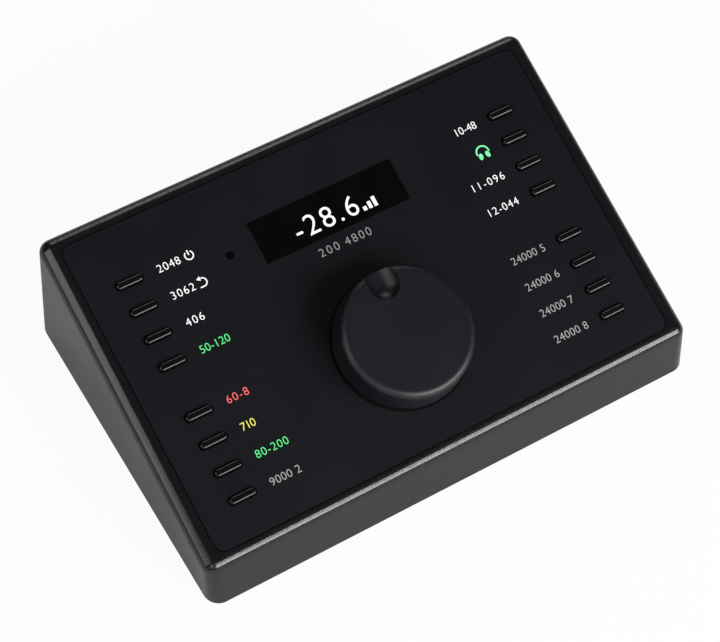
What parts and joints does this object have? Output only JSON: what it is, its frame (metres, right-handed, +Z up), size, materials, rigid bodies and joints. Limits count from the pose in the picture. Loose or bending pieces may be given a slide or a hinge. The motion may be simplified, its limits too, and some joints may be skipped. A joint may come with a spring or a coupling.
{
  "type": "studio monitor controller",
  "caption": "Wedge-shaped desktop monitor controller with a press-and-turn dial, bar keys in two columns, a small numeric display and audio and data sockets at the back.",
  "frame": {"origin": "on the table under the middle of the case", "axes": "+X to the user's right, +Y to the back, +Z up"},
  "size_m": [0.174, 0.1126, 0.0488],
  "materials": {
    "case_plastic": "satin black, fine spark texture",
    "fascia_film": "matt blue-black film",
    "window_gloss": "dark smoked gloss",
    "display_glass": "black glass",
    "key_plastic": "satin",
    "soft_touch": "soft-touch coating",
    "foot_rubber": "matt",
    "base_steel": "fine black powder coat",
    "dark_steel": "black oxide",
    "bright_steel": "plated",
    "brass_metal": "turned",
    "socket_plastic": "moulded",
    "socket_metal": "plated",
    "inner_plastic": "moulded",
    "light_box_white": "moulded",
    "led_resin": "clear resin",
    "board_green": "solder mask",
    "ribbon_grey": "flat cable"
  },
  "bodies": {
    "case": {"housing": "case_plastic", "base_plate": "base_steel", "feet": "foot_rubber", "base_screws": "dark_steel", "fascia": "fascia_film", "display_window": "window_gloss", "oled_module": "display_glass", "oled_bracket": "inner_plastic", "sensor_lens": "window_gloss", "room_sensor": "inner_plastic", "panel_board": "board_green", "panel_screws": "bright_steel", "light_box_left": "light_box_white", "light_box_right": "light_box_white", "legend_leds": "led_resin", "key_switches": "inner_plastic", "encoder_body": "bright_steel", "encoder_bush": "brass_metal", "encoder_washer": "bright_steel", "encoder_nut": "bright_steel", "main_board": "board_green", "board_standoffs": "brass_metal", "board_screws": "bright_steel", "headphone_socket": "socket_plastic", "line_socket_left": "socket_plastic", "line_socket_right": "socket_plastic", "digital_socket": "socket_plastic", "network_socket_1": "socket_metal", "network_socket_2": "socket_metal", "usb_socket": "socket_metal", "power_socket": "socket_plastic", "ribbon_cable": "ribbon_grey", "ribbon_headers": "inner_plastic", "processor": "inner_plastic", "capacitors": "inner_plastic", "shield_can": "socket_metal"},
    "key_1": {"key_1": "key_plastic"},
    "key_2": {"key_2": "key_plastic"},
    "key_3": {"key_3": "key_plastic"},
    "key_4": {"key_4": "key_plastic"},
    "key_5": {"key_5": "key_plastic"},
    "key_6": {"key_6": "key_plastic"},
    "key_7": {"key_7": "key_plastic"},
    "key_8": {"key_8": "key_plastic"},
    "key_9": {"key_9": "key_plastic"},
    "key_10": {"key_10": "key_plastic"},
    "key_11": {"key_11": "key_plastic"},
    "key_12": {"key_12": "key_plastic"},
    "key_13": {"key_13": "key_plastic"},
    "key_14": {"key_14": "key_plastic"},
    "key_15": {"key_15": "key_plastic"},
    "key_16": {"key_16": "key_plastic"},
    "dial_push": {"encoder_plunger": "inner_plastic"},
    "dial": {"encoder_shaft": "bright_steel", "dial_cap": "soft_touch", "dial_insert": "brass_metal"}
  },
  "joints": [
    {"name": "key_1_press", "type": "slide", "parent": "case", "child": "key_1", "axis": [0, 0.2757, -0.9612], "range_m": [0, 0.0005], "stiffness_N_per_m": 600, "springref_m": -0.001},
    {"name": "key_2_press", "type": "slide", "parent": "case", "child": "key_2", "axis": [0, 0.2757, -0.9612], "range_m": [0, 0.0005], "stiffness_N_per_m": 600, "springref_m": -0.001},
    {"name": "key_3_press", "type": "slide", "parent": "case", "child": "key_3", "axis": [0, 0.2757, -0.9612], "range_m": [0, 0.0005], "stiffness_N_per_m": 600, "springref_m": -0.001},
    {"name": "key_4_press", "type": "slide", "parent": "case", "child": "key_4", "axis": [0, 0.2757, -0.9612], "range_m": [0, 0.0005], "stiffness_N_per_m": 600, "springref_m": -0.001},
    {"name": "key_5_press", "type": "slide", "parent": "case", "child": "key_5", "axis": [0, 0.2757, -0.9612], "range_m": [0, 0.0005], "stiffness_N_per_m": 600, "springref_m": -0.001},
    {"name": "key_6_press", "type": "slide", "parent": "case", "child": "key_6", "axis": [0, 0.2757, -0.9612], "range_m": [0, 0.0005], "stiffness_N_per_m": 600, "springref_m": -0.001},
    {"name": "key_7_press", "type": "slide", "parent": "case", "child": "key_7", "axis": [0, 0.2757, -0.9612], "range_m": [0, 0.0005], "stiffness_N_per_m": 600, "springref_m": -0.001},
    {"name": "key_8_press", "type": "slide", "parent": "case", "child": "key_8", "axis": [0, 0.2757, -0.9612], "range_m": [0, 0.0005], "stiffness_N_per_m": 600, "springref_m": -0.001},
    {"name": "key_9_press", "type": "slide", "parent": "case", "child": "key_9", "axis": [0, 0.2757, -0.9612], "range_m": [0, 0.0005], "stiffness_N_per_m": 600, "springref_m": -0.001},
    {"name": "key_10_press", "type": "slide", "parent": "case", "child": "key_10", "axis": [0, 0.2757, -0.9612], "range_m": [0, 0.0005], "stiffness_N_per_m": 600, "springref_m": -0.001},
    {"name": "key_11_press", "type": "slide", "parent": "case", "child": "key_11", "axis": [0, 0.2757, -0.9612], "range_m": [0, 0.0005], "stiffness_N_per_m": 600, "springref_m": -0.001},
    {"name": "key_12_press", "type": "slide", "parent": "case", "child": "key_12", "axis": [0, 0.2757, -0.9612], "range_m": [0, 0.0005], "stiffness_N_per_m": 600, "springref_m": -0.001},
    {"name": "key_13_press", "type": "slide", "parent": "case", "child": "key_13", "axis": [0, 0.2757, -0.9612], "range_m": [0, 0.0005], "stiffness_N_per_m": 600, "springref_m": -0.001},
    {"name": "key_14_press", "type": "slide", "parent": "case", "child": "key_14", "axis": [0, 0.2757, -0.9612], "range_m": [0, 0.0005], "stiffness_N_per_m": 600, "springref_m": -0.001},
    {"name": "key_15_press", "type": "slide", "parent": "case", "child": "key_15", "axis": [0, 0.2757, -0.9612], "range_m": [0, 0.0005], "stiffness_N_per_m": 600, "springref_m": -0.001},
    {"name": "key_16_press", "type": "slide", "parent": "case", "child": "key_16", "axis": [0, 0.2757, -0.9612], "range_m": [0, 0.0005], "stiffness_N_per_m": 600, "springref_m": -0.001},
    {"name": "dial_press", "type": "slide", "parent": "case", "child": "dial_push", "axis": [0, 0.2757, -0.9612], "range_m": [0, 0.0005], "stiffness_N_per_m": 1500, "springref_m": -0.001},
    {"name": "dial_turn", "type": "hinge", "parent": "dial_push", "child": "dial", "pos_m": [0, -0.01693, 0.02909], "axis": [0, -0.2757, 0.9612], "continuous": true}
  ]
}
